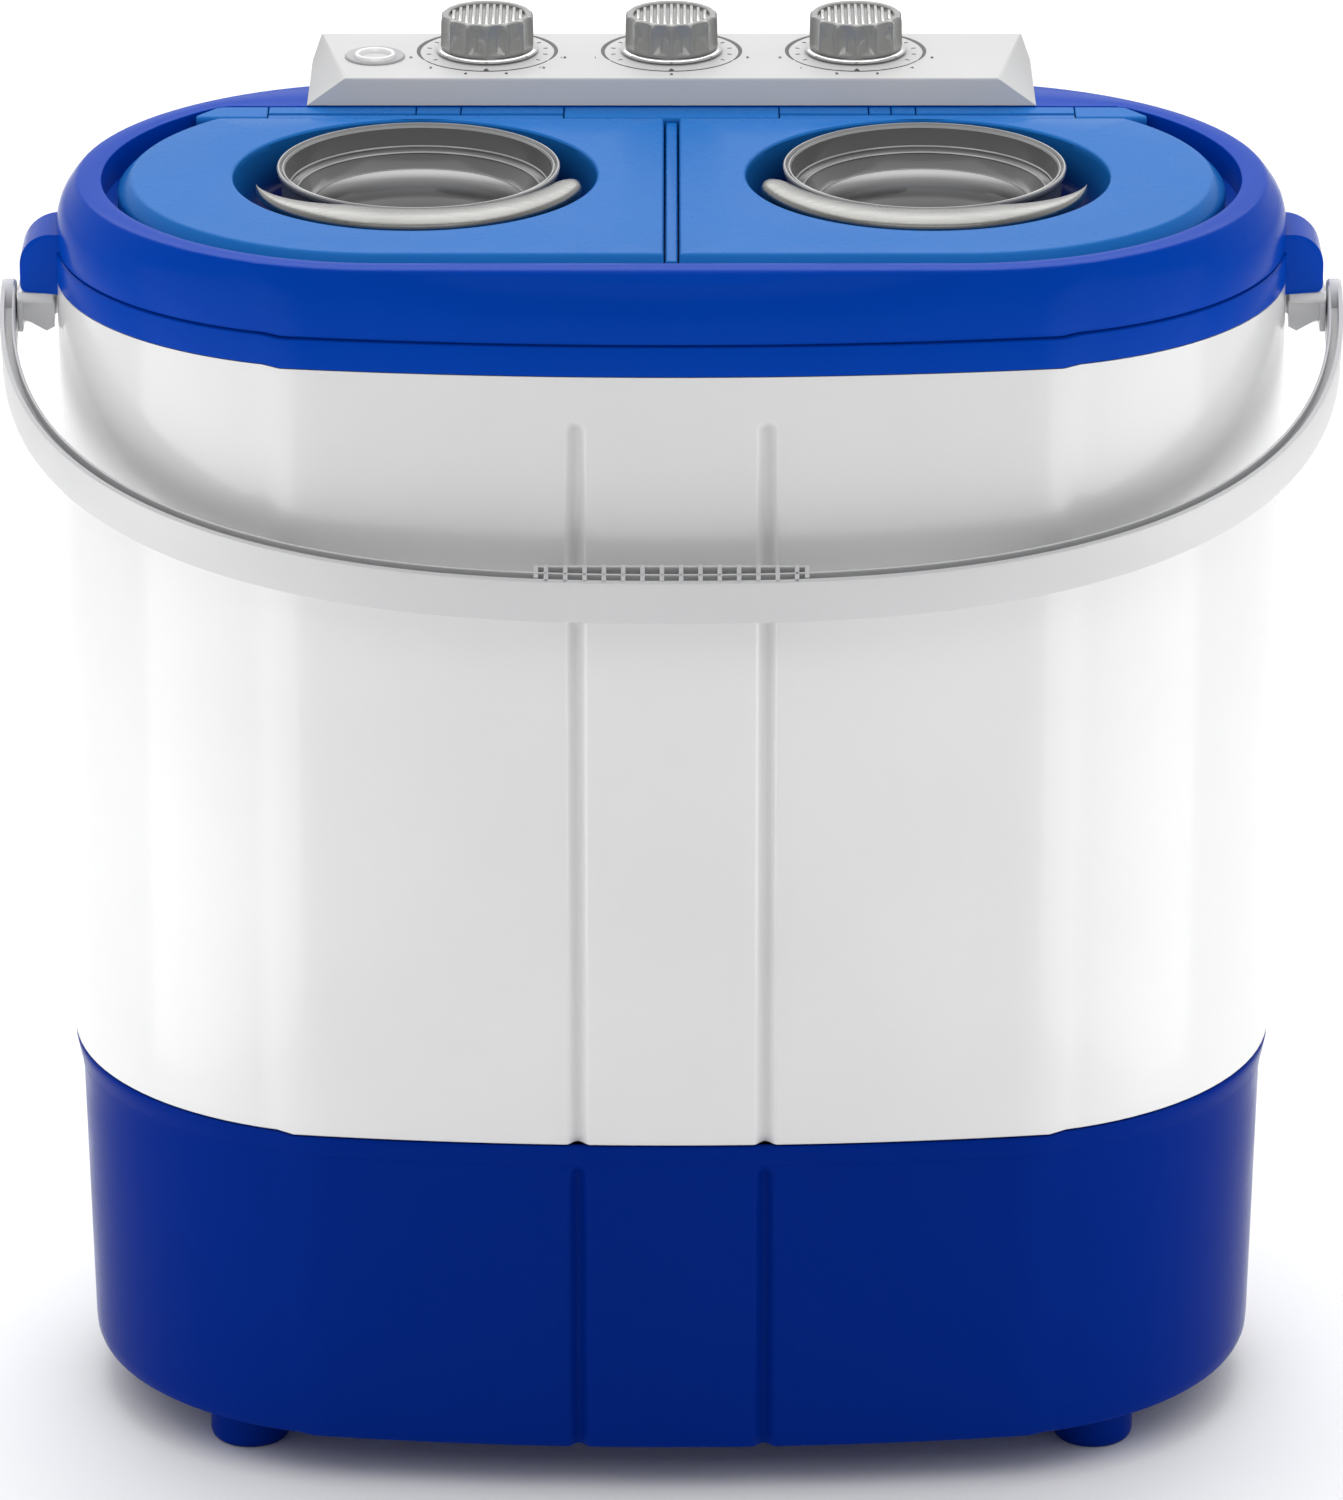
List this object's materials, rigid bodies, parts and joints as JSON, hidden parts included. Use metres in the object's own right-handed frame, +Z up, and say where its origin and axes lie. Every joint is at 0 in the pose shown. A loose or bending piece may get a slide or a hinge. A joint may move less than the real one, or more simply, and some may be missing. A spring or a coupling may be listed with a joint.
{
  "type": "twin tub washer",
  "caption": "Portable twin tub washer with round ends, hinged windowed lids, turning control knobs and a swinging carry bail over a wash tub and a spin dryer.",
  "frame": {"origin": "on the floor, below the middle of the whole machine", "axes": "+Z up, front panel towards -Y, +X to the right seen from the front; wash tub at -X, spin dryer at +X"},
  "size_m": [0.588, 0.3434, 0.603],
  "materials": {
    "blue_gloss": "gloss",
    "white_gloss": "gloss",
    "white_tub": "satin",
    "grey_plastic": "matte",
    "smoked_window": "gloss",
    "satin_grip": "satin",
    "chromed_knob": "gloss",
    "steel": "satin",
    "black_rubber": "matte",
    "dark_plastic": "matte"
  },
  "bodies": {
    "casing": {"base_housing": "blue_gloss", "bottom_plate": "grey_plastic", "foot_front_left": "blue_gloss", "foot_front_right": "blue_gloss", "foot_rear_left": "blue_gloss", "foot_rear_right": "blue_gloss", "body_shell": "white_gloss", "top_collar": "blue_gloss", "hinge_strip": "blue_gloss", "bail_bracket_left": "white_gloss", "bail_bracket_right": "white_gloss", "rear_cover": "white_gloss", "rear_cover_screw_left": "steel", "rear_cover_screw_right": "steel", "control_panel": "white_gloss", "water_inlet_port": "grey_plastic", "wash_lid_pin": "steel", "spin_lid_pin": "steel", "wash_tub": "white_tub", "shaft_bearing": "dark_plastic", "drive_belt": "black_rubber", "wash_motor": "steel", "motor_capacitor": "dark_plastic", "lint_filter": "grey_plastic", "drain_grille": "grey_plastic", "drain_valve": "dark_plastic", "drain_hose": "black_rubber", "drain_outlet": "grey_plastic", "cable_gland": "black_rubber", "spin_outer_tub": "white_tub", "spin_seal": "black_rubber", "spin_motor": "steel", "spin_motor_mount_1": "black_rubber", "spin_motor_mount_2": "black_rubber", "spin_motor_mount_3": "black_rubber", "wash_timer": "dark_plastic", "selector_switch": "dark_plastic", "spin_timer": "dark_plastic"},
    "wash_lid_body": {"wash_lid": "blue_gloss", "wash_lid_window": "smoked_window", "wash_lid_grip": "satin_grip"},
    "spin_lid_body": {"spin_lid": "blue_gloss", "spin_lid_window": "smoked_window", "spin_lid_grip": "satin_grip"},
    "bail_body": {"bail_handle": "white_gloss"},
    "wash_timer_dial": {"wash_timer_knob": "chromed_knob", "wash_timer_shaft": "steel"},
    "selector_dial": {"selector_knob": "chromed_knob", "selector_shaft": "steel"},
    "spin_timer_dial": {"spin_timer_knob": "chromed_knob", "spin_timer_shaft": "steel"},
    "pulsator_rotor": {"pulsator": "white_tub", "pulsator_shaft": "steel", "driven_pulley": "grey_plastic"},
    "motor_pulley_rotor": {"motor_pulley": "steel"},
    "spin_rotor": {"spin_basket": "white_tub", "spin_shaft": "steel", "brake_drum": "steel"},
    "inner_lid_body": {"spin_inner_lid": "grey_plastic"},
    "brake_body": {"brake_lever": "steel"}
  },
  "joints": [
    {"name": "wash_lid_hinge", "type": "hinge", "parent": "casing", "child": "wash_lid_body", "pos_m": [-0.1275, 0.085, 0.569], "axis": [-1, 0, 0], "range_deg": [0, 95]},
    {"name": "spin_lid_hinge", "type": "hinge", "parent": "casing", "child": "spin_lid_body", "pos_m": [0.1275, 0.085, 0.569], "axis": [-1, 0, 0], "range_deg": [0, 95]},
    {"name": "bail_swing", "type": "hinge", "parent": "casing", "child": "bail_body", "pos_m": [0, 0, 0.511], "axis": [-1, 0, 0], "range_deg": [0, 118]},
    {"name": "wash_timer_turn", "type": "hinge", "parent": "casing", "child": "wash_timer_dial", "pos_m": [-0.083, 0.14, 0.59], "axis": [0, 0, -1], "range_deg": [0, 300]},
    {"name": "selector_turn", "type": "hinge", "parent": "casing", "child": "selector_dial", "pos_m": [0, 0.14, 0.59], "axis": [0, 0, -1], "range_deg": [-45, 45]},
    {"name": "spin_timer_turn", "type": "hinge", "parent": "casing", "child": "spin_timer_dial", "pos_m": [0.083, 0.14, 0.59], "axis": [0, 0, -1], "range_deg": [0, 300]},
    {"name": "pulsator_spin", "type": "hinge", "parent": "casing", "child": "pulsator_rotor", "pos_m": [-0.12, 0, 0.21], "axis": [0, 0, 1], "continuous": true},
    {"name": "motor_pulley_spin", "type": "hinge", "parent": "casing", "child": "motor_pulley_rotor", "pos_m": [-0.022, 0, 0.129], "axis": [0, 0, 1], "continuous": true},
    {"name": "basket_spin", "type": "hinge", "parent": "casing", "child": "spin_rotor", "pos_m": [0.12, 0, 0.22], "axis": [0, 0, 1], "continuous": true},
    {"name": "inner_lid_lift", "type": "slide", "parent": "spin_rotor", "child": "inner_lid_body", "axis": [0, 0, 1], "range_m": [0, 0.03]},
    {"name": "brake_lever_swing", "type": "hinge", "parent": "casing", "child": "brake_body", "pos_m": [0.168, -0.045, 0.16], "axis": [0, 0, 1], "range_deg": [0, 2.7]}
  ],
  "couplings": [
    {"joint": "motor_pulley_spin", "follows": "pulsator_spin", "ratio": 3.5442},
    {"joint": "brake_lever_swing", "follows": "spin_lid_hinge", "ratio": 0.028}
  ]
}
